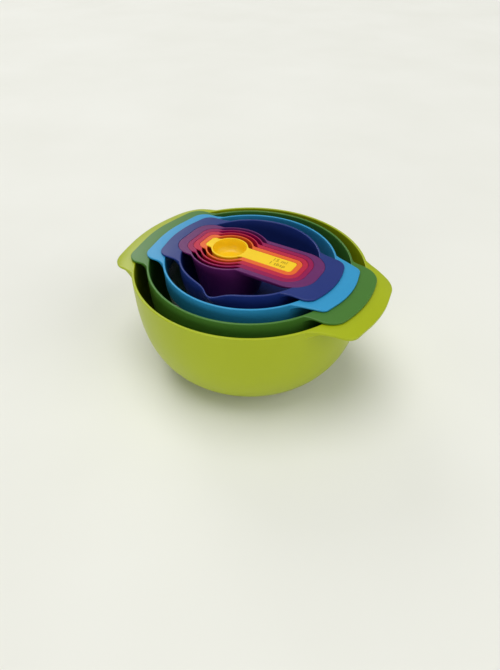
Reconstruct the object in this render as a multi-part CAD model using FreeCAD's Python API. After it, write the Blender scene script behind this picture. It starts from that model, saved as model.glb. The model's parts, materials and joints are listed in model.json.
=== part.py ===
import FreeCAD, Part
import math
import os

from FreeCAD import Vector

# A nested set of nine kitchen bowls and measuring cups, stacked inside one another.
# Millimetres. The origin is on the floor under the middle of the large bowl, +Z is up,
# and +X points along the long handles. Every piece lifts straight up out of the next larger one.

os.makedirs("parts", exist_ok=True)

# Heights of the flat rims above the floor
LARGE_RIM_Z = 125.4
COLANDER_RIM_Z = 129.7
SIEVE_RIM_Z = 133.3
MEASURING_RIM_Z = 136.5
CUPS_TOP_Z = 136.5

# Radii of the insides of the rims, and wall thicknesses
LARGE_RIM_R, LARGE_WALL = 130.1, 3.0
COLANDER_RIM_R, COLANDER_WALL = 113.4, 2.6
SIEVE_RIM_R, SIEVE_WALL = 95.5, 2.4
MEASURING_RIM_R, MEASURING_WALL = 77.4, 2.4

# Undersides of the bowls, before any pad or foot
LARGE_BOTTOM_Z = 0.8
COLANDER_BOTTOM_Z = 25.0
SIEVE_BOTTOM_Z = 52.0
MEASURING_BOTTOM_Z = 73.5

# Bowl sides: radius of the flat bottom, rim radius, bottom, rim, and how full the curve is
LARGE_SIZE = (50.0, LARGE_RIM_R + LARGE_WALL, LARGE_BOTTOM_Z, LARGE_RIM_Z, 2.9)
COLANDER_SIZE = (45.0, COLANDER_RIM_R + COLANDER_WALL, COLANDER_BOTTOM_Z, COLANDER_RIM_Z, 2.9)
MEASURING_SIZE = (34.0, MEASURING_RIM_R + MEASURING_WALL, MEASURING_BOTTOM_Z, MEASURING_RIM_Z, 2.6)

# Soft non-slip pads let into the undersides of the two mixing bowls
LARGE_PAD_R, LARGE_PAD_T = 52.0, 2.0
MEASURING_PAD_R, MEASURING_PAD_T = 30.0, 1.6
PAD_PROUD = 0.8

# Handles: thickness, droop at the tip and radius of the blend into the wall
LARGE_HANDLE = (3.0, 6.0, 10.0)
COLANDER_HANDLE = (2.6, 2.0, 8.0)
SIEVE_HANDLE = (2.3, 1.1, 7.0)
MEASURING_HANDLE = (2.2, 0.9, 7.0)
RIM_EDGE_R = 0.8

# The +Y half of each handle seen from above, from inside the rim out to the tip: the corners
# (x, y, rounding), first those of the long handle on +X and then those of the short one on -X
LARGE_OUTLINES = (
    ((91.1, 71, 0), (103.5, 78.9, 0), (118.5, 69.3, 16), (152.1, 53.9, 21), (162.1, 0, 147)),
    ((85.5, 77.9, 0), (97.1, 86.6, 0), (117.3, 81, 12), (139.5, 77.6, 27.7), (152, 0, 185)))
COLANDER_OUTLINES = (
    ((82.7, 56.5, 0), (93.9, 62.8, 0), (102.4, 57.4, 16), (133.2, 53.9, 23), (146.9, 0, 141)),
    ((75.2, 66.6, 0), (85.4, 74, 0), (97.8, 68.5, 9.5), (123.2, 69.5, 18.3), (135.6, 0, 123)))
SIEVE_OUTLINES = (
    ((67.6, 50.1, 0), (76.9, 55.7, 0), (87.8, 51.3, 13.5), (115.8, 43, 9), (127.2, 0, 103)),
    ((61.4, 57.9, 0), (69.8, 64.3, 0), (82.9, 59.3, 10), (106.3, 58.5, 16), (116.6, 0, 131)))
MEASURING_OUTLINES = (
    ((53.7, 42, 0), (61, 46.7, 0), (75.4, 43.2, 10), (98.1, 41.8, 14), (110.4, 0, 99)),
    ((46.7, 49.9, 0), (53.1, 55.5, 0), (66.2, 51.1, 9), (91, 50.1, 14), (102.5, 0, 113)))
LONG_TURN, SHORT_TURN = -1.5, 0.5

# Colander holes and feet
HOLE_R = 2.4
HOLE_RINGS, MOST_HOLES = 8, 36
HOLE_SPACING = 13.0
FOOT_COUNT = 3
FOOT_RING_R, FOOT_R, FOOT_LENGTH = 40.0, 6.0, 10.0

# Sieve
SIEVE_BAND = 25.0
SIEVE_TAPER = 1.0
MESH_T = 0.8

# Pouring spout of the measuring bowl, on its -Y side: how far the rim stands out, against
# the distance along the rim from the middle of the spout
SPOUT_DEPTH = 30.0
SPOUT_TURN = 3.7
SPOUT_LEVELS, SPOUT_GROWTH = 16, 1.25
SPOUT_SHAPE = ((0.0, 12.0), (4.0, 10.4), (8.0, 6.9), (12.0, 3.7), (17.0, 1.3), (22.0, 0.2), (26.0, -0.2))

# Measuring cups, smallest first, sharing one axis that stands off the bowl's axis
CUP_X = -27.0
CUP_WALL = 1.6
FLANGE_T = 1.6
TROUGH_FLOOR = 1.2
NEST_GAP = 0.2
SIDE_GAP = 0.3
# name: inner rim radius, inner floor radius, inner depth, handle half width, +X end, -X end
CUPS = {
    "measuring_cup_15ml": (19.5, 18.2, 14.6, 9.8, 55.6, -55.2),
    "measuring_cup_60ml": (26.0, 24.6, 32.6, 16.0, 61.6, -61.6),
    "measuring_cup_85ml": (32.0, 27.6, 34.8, 22.5, 67.6, -68.0),
    "measuring_cup_125ml": (38.1, 30.0, 40.0, 29.0, 73.4, -73.8),
    "measuring_cup_250ml": (44.1, 34.0, 52.4, 35.2, 86.2, -84.8),
}
CUP_CORNER_R = 8.0
CUP_EDGE_R = 0.5
FLARE_R = 5.0
FIRST_CORNER_R, LOW_CORNER_STEP, HIGH_CORNER_STEP = 4.0, 4.5, 6.0


def revolve(wire):
    return Part.Face(wire).revolve(Vector(0, 0, 0), Vector(0, 0, 1), 360)


def line(a, b):
    return Part.LineSegment(a, b).toShape()


def arc(a, b, c):
    return Part.Arc(a, b, c).toShape()


def bowl_curve(foot_r, rim_r, bottom_z, rim_z, fullness, inset=0.0, steps=12):
    """A bowl's side from its flat bottom to its rim, moved inwards by inset, as a smooth curve."""
    def point(t):
        across, down = math.sin(t) ** (2 / fullness), math.cos(t) ** (2 / fullness)
        r = foot_r + (rim_r - foot_r) * across
        z = rim_z - (rim_z - bottom_z) * down
        slope_r = (rim_r - foot_r) ** fullness
        slope_z = (rim_z - bottom_z) ** fullness
        normal = Vector((r - foot_r) ** (fullness - 1) / slope_r, 0,
                        -((rim_z - z) ** (fullness - 1)) / slope_z)
        return Vector(r, 0, z) - normal.normalize() * inset

    points = [point(math.pi / 2 * (0.5 - 0.5 * math.cos(math.pi * k / steps))) for k in range(steps + 1)]
    curve = Part.BSplineCurve()
    curve.interpolate(Points=points, InitialTangent=Vector(1, 0, 0), FinalTangent=Vector(0, 0, 1))
    return curve


def bowl_solid(foot_r, rim_r, bottom_z, rim_z, fullness, inset=0.0):
    """The solid inside a bowl's outer side, or inside its inner side when inset is the wall."""
    side = bowl_curve(foot_r, rim_r, bottom_z, rim_z, fullness, inset)
    start, end = side.value(side.FirstParameter), side.value(side.LastParameter)
    foot, top = Vector(0, 0, start.z), Vector(0, 0, end.z)
    return revolve(Part.Wire([line(foot, start), side.toShape(), line(end, top), line(top, foot)]))


def bowl_shell(wall, size):
    """A plain bowl whose rim has softly rounded edges."""
    foot_r, rim_r, bottom_z, rim_z, fullness = size
    shell = bowl_solid(*size).cut(bowl_solid(*size, inset=wall))
    rim = [e for e in shell.Edges if e.BoundBox.ZMin > rim_z - 0.01]
    return shell.makeFillet(RIM_EDGE_R, rim)


def rounded_wire(corners, z):
    """A closed outline through corners (x, y, radius), each rounded by its own radius."""
    edges, ends = [], []
    count = len(corners)
    for k, (x, y, radius) in enumerate(corners):
        here = Vector(x, y, z)
        before = (Vector(*corners[k - 1][:2], z) - here).normalize()
        after = (Vector(*corners[(k + 1) % count][:2], z) - here).normalize()
        if radius == 0:
            ends.append((here, here, None))
            continue
        half = before.getAngle(after) / 2
        reach = radius / math.tan(half)
        middle = (before + after).normalize()
        nearest = here + middle * (radius / math.sin(half) - radius)
        ends.append((here + before * reach, here + after * reach, nearest))
    for k, (begin, finish, nearest) in enumerate(ends):
        if nearest is not None:
            edges.append(arc(begin, nearest, finish))
        following = ends[(k + 1) % count][0]
        if (following - finish).Length > 1e-6:
            edges.append(line(finish, following))
    return Part.Wire(edges)


def prism(wire, height):
    return Part.Face(wire).extrude(Vector(0, 0, height))


def mirrored(upper, side):
    """A handle's corners from those of its +Y half; side is 1 for +X and -1 for -X."""
    lower = [(x, -y, r) for x, y, r in reversed(upper) if y]
    return [(side * x, y, r) for x, y, r in [*upper, *lower]]


def drooping_flange(rim_r, tip_r, top_z, thickness, droop):
    """A flange all round a rim that curves down by droop at tip_r."""
    run = tip_r - rim_r
    bend_r = (run * run + droop * droop) / (2 * droop)
    angle = math.asin(run * 1.15 / bend_r)

    def around(r, a):
        return Vector(rim_r + r * math.sin(a), 0, top_z - bend_r + r * math.cos(a))

    low_r, inside = bend_r - thickness, rim_r - 6
    return revolve(Part.Wire([
        line(Vector(inside, 0, top_z), around(bend_r, 0)),
        arc(around(bend_r, 0), around(bend_r, angle / 2), around(bend_r, angle)),
        line(around(bend_r, angle), around(low_r, angle)),
        arc(around(low_r, angle), around(low_r, angle / 2), around(low_r, 0)),
        line(around(low_r, 0), Vector(inside, 0, top_z - thickness)),
        line(Vector(inside, 0, top_z - thickness), Vector(inside, 0, top_z)),
    ]))


def under_blend(rim_r, top_z, radius):
    """A hollow-curved ring that softens the corner between a wall and the flange at top_z."""
    corner, low = Vector(rim_r - 1, 0, top_z), Vector(rim_r - 1, 0, top_z - radius)
    out = Vector(rim_r + radius, 0, top_z)
    bow = radius * (1 - math.sqrt(0.5))
    middle = Vector(rim_r + bow, 0, top_z - bow)
    return revolve(Part.Wire([line(corner, low), arc(low, middle, out), line(out, corner)]))


def handles(outlines, rim_r, wall, top_z, form):
    """A bowl's two handles, which start inside its wall: the long one on +X, the short one on -X."""
    thickness, droop, blend_r = form
    flange = drooping_flange(rim_r, outlines[0][-1][0] - 4, top_z, thickness, droop)
    blend = under_blend(rim_r, top_z - thickness + 0.4, blend_r)
    clear = Part.makeCylinder(rim_r - wall / 2, 60, Vector(0, 0, top_z - 50))
    made = []
    for half, side, turn in zip(outlines, (1, -1), (LONG_TURN, SHORT_TURN)):
        block = prism(rounded_wire(mirrored(half, side), top_z - 40), 60)
        block.rotate(Vector(0, 0, 0), Vector(0, 0, 1), turn)
        plate = flange.common(block).removeSplitter()
        edges = [e for e in plate.Edges if outline_edge(e, rim_r)]
        made.append(plate.makeFillet(RIM_EDGE_R, edges).fuse(blend.common(block)).cut(clear))
    return made


def outline_edge(edge, rim_r):
    """True for the upper and lower edges along a handle's free outline."""
    span = edge.LastParameter - edge.FirstParameter
    points = [edge.valueAt(edge.FirstParameter + span * k / 8) for k in range(9)]
    upright = math.hypot(points[0].x - points[-1].x, points[0].y - points[-1].y) < 0.01
    return not upright and min(math.hypot(p.x, p.y) for p in points) > rim_r - 4.5 and not isinstance(
        edge.Curve, Part.Circle)


def large_mixing_bowl():
    rim_r = LARGE_RIM_R + LARGE_WALL
    body = bowl_shell(LARGE_WALL, LARGE_SIZE)
    body = body.fuse(handles(LARGE_OUTLINES, rim_r, LARGE_WALL, LARGE_RIM_Z, LARGE_HANDLE))
    return body.cut(pad(LARGE_PAD_R, LARGE_PAD_T, LARGE_BOTTOM_Z))


def pad(radius, thickness, bowl_bottom_z):
    """A soft disc let into a bowl's underside and standing a little proud of it."""
    return Part.makeCylinder(radius, thickness, Vector(0, 0, bowl_bottom_z - PAD_PROUD))


def colander():
    rim_r = COLANDER_RIM_R + COLANDER_WALL
    body = bowl_shell(COLANDER_WALL, COLANDER_SIZE)
    for k in range(FOOT_COUNT):
        angle = 2 * math.pi * (k + 0.5) / FOOT_COUNT
        place = Vector(FOOT_RING_R * math.cos(angle), FOOT_RING_R * math.sin(angle),
                       COLANDER_BOTTOM_Z - FOOT_LENGTH)
        foot = Part.makeCone(FOOT_R * 0.75, FOOT_R, FOOT_LENGTH + 1, place)
        body = body.fuse(foot.makeFillet(1.5, [e for e in foot.Edges if e.BoundBox.ZMax < place.z + 0.1]))
    body = body.cut(Part.makeCompound(drain_holes()))
    return body.fuse(handles(COLANDER_OUTLINES, rim_r, COLANDER_WALL, COLANDER_RIM_Z, COLANDER_HANDLE))


def drain_holes():
    """Rings of round holes square to the colander's wall, evenly spaced from the middle outwards."""
    side = bowl_curve(*COLANDER_SIZE)
    flat = COLANDER_SIZE[0]
    holes = [Part.makeCylinder(HOLE_R, 12, Vector(0, 0, COLANDER_BOTTOM_Z - 6))]
    for ring in range(1, HOLE_RINGS + 1):
        along = ring * HOLE_SPACING
        if along <= flat:
            place, outward = Vector(along, 0, COLANDER_BOTTOM_Z), Vector(0, 0, -1)
        else:
            at = side.parameterAtDistance(along - flat, side.FirstParameter)
            place, tangent = side.value(at), side.tangent(at)[0]
            outward = Vector(tangent.z, 0, -tangent.x)
        count = min(6 * ring, MOST_HOLES)
        for k in range(count):
            hole = Part.makeCylinder(HOLE_R, 12, place - outward * 8, outward)
            hole.rotate(Vector(0, 0, 0), Vector(0, 0, 1), 360.0 * (k + 0.5 * (ring % 2)) / count)
            holes.append(hole)
    return holes


def sieve_frame():
    """The sieve's plastic ring: a plain band whose lower edge holds the mesh."""
    rim_r, low_z = SIEVE_RIM_R + SIEVE_WALL, SIEVE_RIM_Z - SIEVE_BAND
    band = Part.makeCone(rim_r - SIEVE_TAPER, rim_r, SIEVE_BAND, Vector(0, 0, low_z))
    band = band.cut(Part.makeCone(SIEVE_RIM_R - SIEVE_TAPER, SIEVE_RIM_R, SIEVE_BAND, Vector(0, 0, low_z)))
    band = band.makeFillet(RIM_EDGE_R, [e for e in band.Edges if e.Length > 100])
    ring = band.fuse(handles(SIEVE_OUTLINES, rim_r, SIEVE_WALL, SIEVE_RIM_Z, SIEVE_HANDLE))
    return ring.cut(mesh_outside())


def mesh_size():
    return (30.0, SIEVE_RIM_R - SIEVE_TAPER + MESH_T + 0.6, SIEVE_BOTTOM_Z, SIEVE_RIM_Z - SIEVE_BAND + 3, 2.3)


def mesh_outside():
    return bowl_solid(*mesh_size())


def sieve_mesh():
    """The sieve's round-bottomed mesh, as a thin closed skin."""
    return mesh_outside().cut(bowl_solid(*mesh_size(), inset=MESH_T))


def spouted_outline(r, z, share):
    """A circle of radius r with a share of the full spout drawn out of its -Y side."""
    halves = [(along / r, out * share) for along, out in SPOUT_SHAPE]
    around = [(-turn, out) for turn, out in reversed(halves[1:])] + halves
    first = halves[-1][0]
    plain = 2 * (math.pi - first)
    around += [(first + plain * k / 16, 0) for k in range(1, 16)]
    curve = Part.BSplineCurve()
    curve.interpolate(Points=[Vector((r + out) * math.sin(turn), -(r + out) * math.cos(turn), z)
                              for turn, out in around], PeriodicFlag=True)
    return Part.Wire(curve.toShape())


def spouted_solid(inset):
    """The measuring bowl's filled outside, or its inside when inset is the wall."""
    curve = bowl_curve(*MEASURING_SIZE, inset=inset)
    wires = []
    for k in range(SPOUT_LEVELS + 1):
        share = k / SPOUT_LEVELS
        level = curve.value(curve.FirstParameter * (1 - share) + curve.LastParameter * share)
        down = min(1.0, (MEASURING_RIM_Z - level.z) / SPOUT_DEPTH)
        wires.append(spouted_outline(level.x, level.z, (1 - down) ** SPOUT_GROWTH))
    solid = Part.makeLoft(wires, True, False)
    solid.rotate(Vector(0, 0, 0), Vector(0, 0, 1), SPOUT_TURN)
    return solid


def measuring_bowl():
    """A spouted bowl whose long handle holds the largest cup's handle in a shallow tray."""
    rim_r = MEASURING_RIM_R + MEASURING_WALL
    body = spouted_solid(0.0).cut(spouted_solid(MEASURING_WALL))
    rim = [e for e in body.Edges if e.BoundBox.ZMin > MEASURING_RIM_Z - 0.01]
    body = body.makeFillet(RIM_EDGE_R, rim)
    body = body.fuse(handles(MEASURING_OUTLINES, rim_r, MEASURING_WALL, MEASURING_RIM_Z, MEASURING_HANDLE))
    floor_z = CUPS_TOP_Z - FLANGE_T - NEST_GAP
    lug = strip_block(cup_strip(4, SIDE_GAP + TROUGH_FLOOR), floor_z - TROUGH_FLOOR, CUPS_TOP_Z - RIM_EDGE_R)
    body = body.fuse(lug.cut(Part.makeCylinder(rim_r - MEASURING_WALL / 2, 300, Vector(0, 0, 0))))
    body = body.cut(strip_block(cup_strip(4, SIDE_GAP), floor_z, CUPS_TOP_Z + 5))
    return body.cut(pad(MEASURING_PAD_R, MEASURING_PAD_T, MEASURING_BOTTOM_Z))


def cup_body(rim_r, floor_r, depth, inset=0.0):
    """The outside of a round cup on CUP_X, or its inside when inset is the wall."""
    bottom_z = CUPS_TOP_Z - depth - CUP_WALL + inset
    grow = CUP_WALL - inset
    body = Part.makeCone(floor_r + grow, rim_r + grow, CUPS_TOP_Z - bottom_z, Vector(0, 0, bottom_z))
    body = body.makeFillet(CUP_CORNER_R + grow, [e for e in body.Edges if e.BoundBox.ZMax < bottom_z + 0.01])
    body.translate(Vector(CUP_X, 0, 0))
    return body


def cup_strip(order, by=0.0):
    """A cup handle's outline made larger all round: -X end, +X end, half width, corner radii."""
    _, _, _, half_width, high_x, low_x = list(CUPS.values())[order]
    low_corner = FIRST_CORNER_R + LOW_CORNER_STEP * order
    high_corner = FIRST_CORNER_R + HIGH_CORNER_STEP * order
    return low_x - by, high_x + by, half_width + by, low_corner + by, high_corner + by


def strip_block(strip, low_z, high_z):
    low_x, high_x, half_width, low_corner, high_corner = strip
    corners = [(low_x, -half_width, low_corner), (high_x, -half_width, high_corner),
               (high_x, half_width, high_corner), (low_x, half_width, low_corner)]
    return prism(rounded_wire(corners, low_z), high_z - low_z)


def cup_plate(order, cup_r):
    """The flat top of a cup: its handle and tab run into its round rim with small flares."""
    low_x, high_x, half_width, low_corner, high_corner = cup_strip(order)
    z = CUPS_TOP_Z - FLANGE_T
    reach = math.sqrt((cup_r + FLARE_R) ** 2 - (half_width + FLARE_R) ** 2)
    turn = math.asin((half_width + FLARE_R) / (cup_r + FLARE_R))
    diagonal = math.sqrt(0.5)

    def corner(end_x, side, radius, sign):
        centre_x, centre_y = end_x - side * radius, sign * (half_width - radius)
        return (Vector(end_x, centre_y, z),
                Vector(centre_x + side * radius * diagonal, centre_y + sign * radius * diagonal, z),
                Vector(centre_x, sign * half_width, z))

    def flare(side, sign):
        centre = Vector(CUP_X + side * reach, sign * (half_width + FLARE_R), z)
        start = Vector(centre.x, sign * half_width, z)
        end = Vector(CUP_X + side * cup_r * math.cos(turn), sign * cup_r * math.sin(turn), z)
        return start, centre + ((start + end) * 0.5 - centre).normalize() * FLARE_R, end

    edges = []
    for sign in (1, -1):
        right, left = corner(high_x, 1, high_corner, sign), corner(low_x, -1, low_corner, sign)
        right_flare, left_flare = flare(1, sign), flare(-1, sign)
        edges += [arc(*right), line(right[2], right_flare[0]), arc(*right_flare),
                  arc(right_flare[2], Vector(CUP_X, sign * cup_r, z), left_flare[2]),
                  arc(*left_flare), line(left_flare[0], left[2]), arc(*left)]
    for end_x, radius in ((high_x, high_corner), (low_x, low_corner)):
        edges.append(line(Vector(end_x, half_width - radius, z), Vector(end_x, radius - half_width, z)))
    plate = prism(Part.Wire(Part.__sortEdges__(edges)), FLANGE_T)
    return plate.makeFillet(CUP_EDGE_R, [e for e in plate.Edges if e.BoundBox.ZMin > CUPS_TOP_Z - 0.01])


def measuring_cup(order):
    """A cup whose long flat handle is a tray that the next smaller cup's handle lies in."""
    sizes = list(CUPS.values())[order][:3]
    cup = cup_plate(order, sizes[0] + CUP_WALL).fuse(cup_body(*sizes).cut(above_cups()))
    if order:
        sunk = FLANGE_T + NEST_GAP + (order - 1) * (TROUGH_FLOOR + NEST_GAP)
        trough = cup_strip(order - 1, SIDE_GAP + TROUGH_FLOOR)
        cup = cup.fuse(strip_block(trough, CUPS_TOP_Z - sunk - TROUGH_FLOOR, CUPS_TOP_Z - CUP_EDGE_R))
        cup = cup.cut(strip_block(cup_strip(order - 1, SIDE_GAP), CUPS_TOP_Z - sunk, CUPS_TOP_Z + 5))
    return cup.cut(cup_body(*sizes, inset=CUP_WALL))


def above_cups():
    """The thin layer that the rounded upper edges of the cups leave free."""
    return Part.makeBox(400, 200, 10, Vector(-200, -100, CUPS_TOP_Z - CUP_EDGE_R))


def export(shape, name):
    solids = shape.Solids
    print(name, "solids", len(solids), "valid", shape.isValid(), "volume ml", round(shape.Volume / 1000, 1))
    (solids[0] if len(solids) == 1 else Part.makeCompound(solids)).exportStep("parts/%s.step" % name)


export(large_mixing_bowl(), "large_mixing_bowl")
export(pad(LARGE_PAD_R, LARGE_PAD_T, LARGE_BOTTOM_Z), "large_bowl_nonslip_pad")
export(colander(), "colander")
export(sieve_frame(), "sieve_frame")
export(sieve_mesh(), "sieve_mesh")
export(measuring_bowl(), "measuring_bowl")
export(pad(MEASURING_PAD_R, MEASURING_PAD_T, MEASURING_BOTTOM_Z), "measuring_bowl_nonslip_pad")
for number, cup_name in enumerate(CUPS):
    export(measuring_cup(number), cup_name)
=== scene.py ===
import bisect
import json
import math

import bpy
from mathutils import Matrix, Vector


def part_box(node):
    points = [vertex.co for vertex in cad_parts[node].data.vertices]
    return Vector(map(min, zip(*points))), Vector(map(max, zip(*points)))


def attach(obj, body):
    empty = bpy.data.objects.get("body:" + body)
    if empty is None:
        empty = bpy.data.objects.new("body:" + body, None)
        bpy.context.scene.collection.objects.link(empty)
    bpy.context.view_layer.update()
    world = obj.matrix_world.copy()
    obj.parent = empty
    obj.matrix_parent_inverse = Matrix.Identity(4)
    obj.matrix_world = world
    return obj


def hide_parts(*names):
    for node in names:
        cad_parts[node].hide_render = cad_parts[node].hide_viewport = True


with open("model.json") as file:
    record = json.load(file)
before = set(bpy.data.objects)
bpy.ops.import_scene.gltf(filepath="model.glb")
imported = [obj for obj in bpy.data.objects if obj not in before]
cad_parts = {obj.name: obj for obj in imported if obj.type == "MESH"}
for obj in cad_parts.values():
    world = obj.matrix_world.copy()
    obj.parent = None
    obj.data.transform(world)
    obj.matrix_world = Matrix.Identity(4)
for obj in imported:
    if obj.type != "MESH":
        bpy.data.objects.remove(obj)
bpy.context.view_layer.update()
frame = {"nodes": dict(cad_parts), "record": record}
record = frame["record"]
body_of = {node: body for body, nodes in record["behaviour"]["bodies"].items() for node in nodes}
slot_of = {part["node"]: part["material_slot"] for part in record["subparts"]}
scene = bpy.context.scene

# The scene shows a nest of bowls and cups on a plain pale floor. Most CAD nodes show as they are, with
# moulded plastic on them. The sieve's mesh and the two pads are replaced with finer pieces, and each
# cup's handle gets a raised capacity mark. Lengths are in metres.


# Small helpers

def linear(r, g, b):
    """A colour given as 0-255 display values, in the linear values that shaders take."""
    def one(v):
        v /= 255
        return v / 12.92 if v <= 0.04045 else ((v + 0.055) / 1.055) ** 2.4
    return one(r), one(g), one(b), 1.0


def new_mesh(name, vertices, faces, smooth=True):
    mesh = bpy.data.meshes.new(name)
    mesh.from_pydata(vertices, [], faces)
    mesh.validate()
    for polygon in mesh.polygons:
        polygon.use_smooth = smooth
    piece = bpy.data.objects.new(name, mesh)
    scene.collection.objects.link(piece)
    return piece


def surface_z(node, x, y):
    """Height of a node's upper surface over a point of the floor."""
    hit, place, _, _ = frame["nodes"][node].ray_cast(Vector((x, y, 1)), Vector((0, 0, -1)))
    return place.z if hit else None


# Materials: one for each slot of the record, built from nodes

class Graph:
    """A material's nodes, with short calls to add and join them."""

    def __init__(self, name):
        self.material = bpy.data.materials.new(name)
        self.material.use_nodes = True
        self.tree = self.material.node_tree
        self.shader = self.tree.nodes["Principled BSDF"]
        self.where = self.tree.nodes.new("ShaderNodeTexCoord").outputs["Object"]

    def add(self, kind, settings=(), inputs=()):
        node = self.tree.nodes.new(kind)
        for key, value in dict(settings).items():
            setattr(node, key, value)
        for key, value in dict(inputs).items():
            self.put(node.inputs[key], value)
        return node

    def put(self, socket, value):
        """Set an input to a value, or join it to another node's output."""
        if isinstance(value, bpy.types.NodeSocket):
            self.tree.links.new(value, socket)
        else:
            socket.default_value = value

    def noise(self, scale, detail=2.0, rough=0.5, vector=None):
        """Noise from 0 to 1, laid on the piece's own coordinates unless a vector is given."""
        node = self.add("ShaderNodeTexNoise", {}, {
            "Vector": vector or self.where, "Scale": scale, "Detail": detail, "Roughness": rough})
        return node.outputs["Fac"]

    def spread(self, value, low, high, start=0.3, end=0.7):
        """A texture value moved to run from low to high."""
        node = self.add("ShaderNodeMapRange", {}, {
            "Value": value, "From Min": start, "From Max": end, "To Min": low, "To Max": high})
        return node.outputs["Result"]

    def mix(self, share, a, b):
        """Colour a at share 0, and colour b at share 1."""
        node = self.add("ShaderNodeMix", {"data_type": "RGBA"})
        self.put(node.inputs["Factor"], share)
        self.put(node.inputs["A"], a)
        self.put(node.inputs["B"], b)
        return node.outputs["Result"]

    def bump(self, height, distance, strength=1.0, normal=None):
        """A normal roughened by a height texture, on top of another normal if one is given."""
        node = self.add("ShaderNodeBump", {}, {
            "Height": height, "Distance": distance, "Strength": strength})
        if normal is not None:
            self.put(node.inputs["Normal"], normal)
        return node.outputs["Normal"]

    def finish(self, **inputs):
        """Fill in the shader's inputs, whose names have _ for each space, and return the material."""
        for key, value in inputs.items():
            self.put(self.shader.inputs[key.replace("_", " ")], value)
        return self.material


def shade(colour, by):
    """A linear colour made darker or lighter."""
    return tuple(min(1.0, c * by) for c in colour[:3]) + (1.0,)


def moulded_plastic(name, colour, rough=0.36):
    """Satin injection-moulded plastic: fine grain, a faint unevenness from the flow of the melt, and a
    little light that passes into the wall."""
    g = Graph(name)
    mapping = g.add("ShaderNodeMapping", {}, {"Vector": g.where, "Scale": (1.0, 1.0, 0.35)})
    stretched = mapping.outputs["Vector"]
    flow = g.noise(22, 3, 0.55, stretched)
    cloud = g.noise(7, 2)
    grain = g.noise(2600, 2, 0.6)
    peel = g.noise(260, 2, 0.5)
    tone = g.mix(g.spread(flow, 0, 1), shade(colour, 0.955), shade(colour, 1.03))
    tone = g.mix(g.spread(cloud, 0, 0.5), tone, shade(colour, 0.97))
    tone = g.mix(g.spread(grain, 0, 0.35), tone, shade(colour, 0.90))
    normal = g.bump(grain, 0.00002, 0.35)
    normal = g.bump(peel, 0.00004, 0.25, normal)
    return g.finish(Base_Color=tone, Roughness=g.spread(flow, rough - 0.04, rough + 0.05),
                    Normal=normal, Specular_IOR_Level=0.32, Subsurface_Weight=0.10,
                    Subsurface_Scale=0.004, Subsurface_Radius=(1.0, 0.8, 0.6))


def steel_wire(name, colour):
    """Drawn steel wire with fine streaks."""
    g = Graph(name)
    drawn = g.noise(900, 3, 0.6)
    tone = g.mix(g.spread(drawn, 0, 1), shade(colour, 0.82), shade(colour, 1.08))
    return g.finish(Base_Color=tone, Metallic=1.0, Roughness=g.spread(drawn, 0.24, 0.36),
                    Normal=g.bump(drawn, 0.00001, 0.3))


def silicone(name, colour):
    """Soft matte silicone rubber."""
    g = Graph(name)
    grain = g.noise(1800, 3, 0.65)
    cloud = g.noise(30, 2)
    tone = g.mix(g.spread(cloud, 0, 1), shade(colour, 0.9), shade(colour, 1.06))
    return g.finish(Base_Color=tone, Roughness=g.spread(grain, 0.62, 0.78),
                    Normal=g.bump(grain, 0.00004, 0.5), Sheen_Weight=0.15, Sheen_Roughness=0.5)


# Display colours of the plastics, by slot
PLASTICS = {
    "lime": (166, 179, 15), "green": (70, 120, 44), "sky_blue": (48, 150, 199), "indigo": (28, 48, 118),
    "purple": (102, 34, 98), "magenta": (148, 0, 76), "red": (188, 28, 62), "orange": (234, 104, 36),
    "yellow": (250, 208, 26),
}
materials = {slot: moulded_plastic(slot, linear(*rgb)) for slot, rgb in PLASTICS.items()}
materials["steel_mesh"] = steel_wire("steel_mesh", (0.62, 0.63, 0.64, 1.0))
materials["pad_rubber"] = silicone("pad_rubber", linear(132, 148, 30))
materials["dark_pad_rubber"] = silicone("dark_pad_rubber", linear(40, 46, 96))


def finish_piece(piece, node, material=None):
    """A new piece takes the material of its CAD node's slot, unless another is given, and moves with
    its body.
    """
    slot = slot_of[node]
    piece.data.materials.clear()
    piece.data.materials.append(material or materials[slot])
    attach(piece, body_of[node])
    return piece


# The CAD nodes take the materials of their slots
for node, thing in frame["nodes"].items():
    thing.data.materials.clear()
    thing.data.materials.append(materials[slot_of[node]])
    for polygon in thing.data.polygons:
        polygon.material_index = 0


# The sieve's woven wire mesh

MESH_FOOT_R = 0.030         # radius of the dome's flat bottom
MESH_FULLNESS = 2.3         # how full the curve of its side is
MESH_HALF_T = 0.0004        # from the CAD skin's outside to its middle, where the wires lie
WIRE_PITCH = 0.0021
WIRE_R = 0.00032
WIRE_SIDES = 4
PROFILE_STEPS = 400


def mesh_profile():
    """Points along the mesh's side from its middle outwards: (distance, r, z, outward r, outward z)."""
    low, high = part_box("sieve_mesh")
    rim_r = (high.x - low.x) / 2
    points = [(0.0, low.z)]
    for k in range(PROFILE_STEPS + 1):
        t = math.pi / 2 * k / PROFILE_STEPS
        across, down = math.sin(t) ** (2 / MESH_FULLNESS), max(0.0, math.cos(t)) ** (2 / MESH_FULLNESS)
        points.append((MESH_FOOT_R + (rim_r - MESH_FOOT_R) * across, high.z - (high.z - low.z) * down))
    rows, distance = [], 0.0
    for k, (r, z) in enumerate(points):
        before, after = points[max(0, k - 1)], points[min(len(points) - 1, k + 1)]
        slope = Vector((after[0] - before[0], after[1] - before[1])).normalized()
        if k:
            distance += math.dist(points[k - 1], (r, z))
        out_r, out_z = slope.y, -slope.x
        rows.append((distance, r - out_r * MESH_HALF_T, z - out_z * MESH_HALF_T, out_r, out_z))
    return rows


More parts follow.
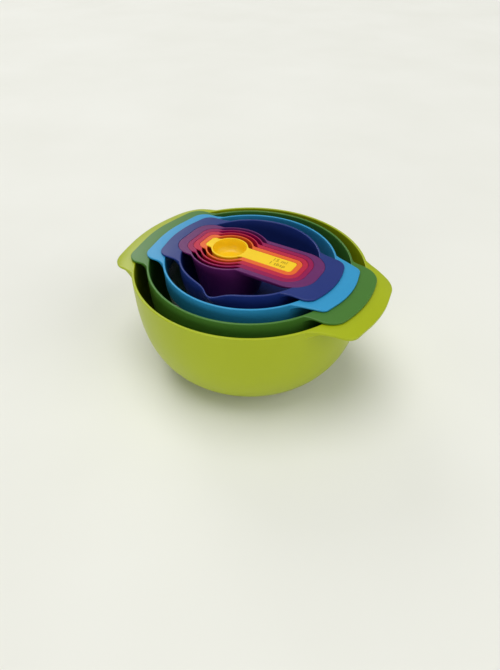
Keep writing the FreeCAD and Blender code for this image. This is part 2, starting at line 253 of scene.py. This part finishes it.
def woven_mesh():
    """Two crossing sets of wires, each passing over and under the other."""
    rows = mesh_profile()
    distances = [row[0] for row in rows]
    reach = distances[-1]

    def on_dome(u, v, lift):
        """A point of the flat cloth, at u and v from its middle, laid on the dome."""
        s = math.hypot(u, v)
        k = min(max(bisect.bisect_left(distances, s), 1), len(rows) - 1)
        a, b = rows[k - 1], rows[k]
        share = min(1.0, (s - a[0]) / max(1e-9, b[0] - a[0]))
        r, z, out_r, out_z = (a[i] + (b[i] - a[i]) * share for i in (1, 2, 3, 4))
        c, d = (u / s, v / s) if s > 1e-9 else (1.0, 0.0)
        normal = Vector((out_r * c, out_r * d, out_z)).normalized()
        return Vector((r * c, r * d, z)) + normal * lift, normal

    vertices, faces = [], []
    count = int(reach / WIRE_PITCH)
    for along_x in (True, False):
        for line in range(-count, count + 1):
            u = line * WIRE_PITCH
            ends = math.sqrt(max(0.0, reach * reach - u * u))
            steps = int(ends / (WIRE_PITCH / 2))
            if steps < 2:
                continue
            path = []
            for step in range(-steps, steps + 1):
                v = step * WIRE_PITCH / 2
                lift = WIRE_R * math.cos(math.pi * (step / 2 + line)) * (1 if along_x else -1)
                path.append(on_dome(v, u, lift) if along_x else on_dome(u, v, lift))
            first = len(vertices)
            for k, (place, normal) in enumerate(path):
                tangent = (path[min(k + 1, len(path) - 1)][0] - path[max(k - 1, 0)][0]).normalized()
                side = tangent.cross(normal).normalized()
                up = side.cross(tangent)
                for j in range(WIRE_SIDES):
                    turn = 2 * math.pi * j / WIRE_SIDES
                    vertices.append(place + (side * math.cos(turn) + up * math.sin(turn)) * WIRE_R)
            for k in range(len(path) - 1):
                for j in range(WIRE_SIDES):
                    a, b = first + k * WIRE_SIDES + j, first + k * WIRE_SIDES + (j + 1) % WIRE_SIDES
                    faces.append((a, b, b + WIRE_SIDES, a + WIRE_SIDES))
            last = first + (len(path) - 1) * WIRE_SIDES
            faces.append(tuple(first + j for j in reversed(range(WIRE_SIDES))))
            faces.append(tuple(last + j for j in range(WIRE_SIDES)))
    return new_mesh("sieve_wire_mesh", vertices, faces)


mesh_piece = finish_piece(woven_mesh(), "sieve_mesh")
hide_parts("sieve_mesh")


# The non-slip pads, with fine rings underneath

def lathe(name, profile, segments=128):
    """A closed ring or disc from its (r, z) outline; a point on the axis makes one shared vertex."""
    vertices, rings, faces = [], [], []
    for r, z in profile:
        if r < 1e-6:
            vertices.append((0, 0, z))
            rings.append([len(vertices) - 1] * segments)
        else:
            first = len(vertices)
            for k in range(segments):
                turn = 2 * math.pi * k / segments
                vertices.append((r * math.cos(turn), r * math.sin(turn), z))
            rings.append(list(range(first, first + segments)))
    for inner, outer in zip(rings, rings[1:]):
        for k in range(segments):
            n = (k + 1) % segments
            corners = []
            for v in (inner[k], inner[n], outer[n], outer[k]):
                if v not in corners:
                    corners.append(v)
            faces.append(tuple(corners))
    return new_mesh(name, vertices, faces)


PAD_EDGE_R = 0.0004
GROOVE_DEPTH, GROOVE_TOP, GROOVE_FLOOR = 0.0003, 0.0009, 0.0004     # the last two are half widths


def pad_piece(node, grooves):
    """A pad with a rounded lower edge and evenly spaced ring grooves underneath."""
    low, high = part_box(node)
    radius = (high.x - low.x) / 2
    profile = [(0.0, low.z)]
    for k in range(grooves):
        middle = radius * (k + 1) / (grooves + 1)
        profile += [(middle - GROOVE_TOP, low.z), (middle - GROOVE_FLOOR, low.z + GROOVE_DEPTH),
                    (middle + GROOVE_FLOOR, low.z + GROOVE_DEPTH), (middle + GROOVE_TOP, low.z)]
    for k in range(5):
        turn = math.pi / 2 * k / 4
        profile.append((radius - PAD_EDGE_R + PAD_EDGE_R * math.sin(turn),
                        low.z + PAD_EDGE_R - PAD_EDGE_R * math.cos(turn)))
    profile += [(radius, high.z), (0.0, high.z)]
    piece = finish_piece(lathe(node + "_ringed", list(reversed(profile))), node)
    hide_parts(node)


pad_piece("large_bowl_nonslip_pad", 7)
pad_piece("measuring_bowl_nonslip_pad", 4)


# Generic capacity marks on the handles of the cups

MARK_RAISED = 0.00014       # low enough to clear the handle that lies over it in the nest
MARK_DARKER = 0.45


def lettering(name, text, size):
    """Raised letters lying flat, centred on the origin."""
    curve = bpy.data.curves.new(name, "FONT")
    curve.body = text
    curve.size = size
    curve.align_x, curve.align_y = "CENTER", "CENTER"
    curve.extrude = MARK_RAISED
    curve.bevel_depth = 0.00004
    curve.bevel_resolution = 1
    curve.resolution_u = 5
    curve.space_character = 1.08
    flat = bpy.data.objects.new(name + "_curve", curve)
    scene.collection.objects.link(flat)
    bpy.context.view_layer.update()
    mesh = bpy.data.meshes.new_from_object(flat.evaluated_get(bpy.context.evaluated_depsgraph_get()))
    bpy.data.objects.remove(flat)
    piece = bpy.data.objects.new(name, mesh)
    scene.collection.objects.link(piece)
    return piece


# Words, letter size and place along the handle
CUP_MARKS = {
    "measuring_cup_15ml": ("15 ml\n1 tbsp", 0.0074, 0.0365),
    "measuring_cup_60ml": ("60 ml", 0.0075, 0.030),
    "measuring_cup_85ml": ("85 ml", 0.0095, 0.036),
    "measuring_cup_125ml": ("125 ml", 0.0110, 0.042),
    "measuring_cup_250ml": ("250 ml", 0.0125, 0.048),
}
for node, (text, size, x) in CUP_MARKS.items():
    piece = lettering(node + "_mark", text, size)
    piece.data.transform(Matrix.Translation((x, 0, surface_z(node, x, 0))))
    slot = slot_of[node]
    # The letters are coloured darker than their cup, at MARK_DARKER times its colour.
    mark_tint = moulded_plastic(slot + "_mark", shade(linear(*PLASTICS[slot]), MARK_DARKER))
    finish_piece(piece, node, mark_tint)


# Floor, light and camera

FLOOR_HALF = 12


def plain_floor():
    g = Graph("pale_floor")
    cloud = g.noise(3, 3)
    tone = g.mix(g.spread(cloud, 0, 1), linear(232, 232, 223), linear(236, 236, 228))
    material = g.finish(Base_Color=tone, Roughness=0.75, Specular_IOR_Level=0.2)
    corners = [(x * FLOOR_HALF, y * FLOOR_HALF, 0) for x, y in ((-1, -1), (1, -1), (1, 1), (-1, 1))]
    floor = new_mesh("floor", corners, [(0, 1, 2, 3)], smooth=False)
    floor.data.materials.append(material)


def sun(name, towards, strength, width_deg, colour=(1, 1, 1)):
    """Light that travels in one direction, as soft as a source width_deg across."""
    data = bpy.data.lights.new(name, "SUN")
    data.energy, data.angle, data.color = strength, math.radians(width_deg), colour
    lamp = bpy.data.objects.new(name, data)
    lamp.rotation_euler = Vector(towards).to_track_quat("-Z", "Y").to_euler()
    scene.collection.objects.link(lamp)


plain_floor()

# The camera's heading, and the directions to its left, away from it and up
HEADING = math.radians(31)
LEFT = Vector((-math.cos(HEADING), -math.sin(HEADING), 0))
BACK = Vector((-math.sin(HEADING), math.cos(HEADING), 0))
UP = Vector((0, 0, 1))


def slanting(direction, height_deg):
    """The direction light travels in, when it comes from a heading at a height above the floor."""
    height = math.radians(height_deg)
    return -(direction.normalized() * math.cos(height) + UP * math.sin(height))


sun("key", slanting(LEFT + BACK * 0.3, 84), 1.50, 45, (1.0, 0.99, 0.97))
sun("front", slanting(LEFT * 0.6 - BACK, 8), 0.86, 30)
sun("side", slanting(-LEFT - BACK * 0.5, 32), 0.75, 50)
sun("sheen", slanting(BACK * 0.92 + LEFT * 0.4, 32), 0.5, 25)

world = bpy.data.worlds.new("studio")
world.use_nodes = True
world.node_tree.nodes["Background"].inputs["Color"].default_value = (0.95, 0.97, 1.0, 1.0)
world.node_tree.nodes["Background"].inputs["Strength"].default_value = 0.33
scene.world = world

camera = bpy.data.cameras.new("camera")
camera.lens, camera.sensor_width, camera.sensor_fit = 27.33, 36, "AUTO"
eye = bpy.data.objects.new("camera", camera)
eye.location = (0.2525, -0.4203, 0.4445)
eye.rotation_euler = (math.radians(48.79), 0, HEADING)
scene.collection.objects.link(eye)
scene.camera = eye
scene.view_settings.view_transform = "Standard"
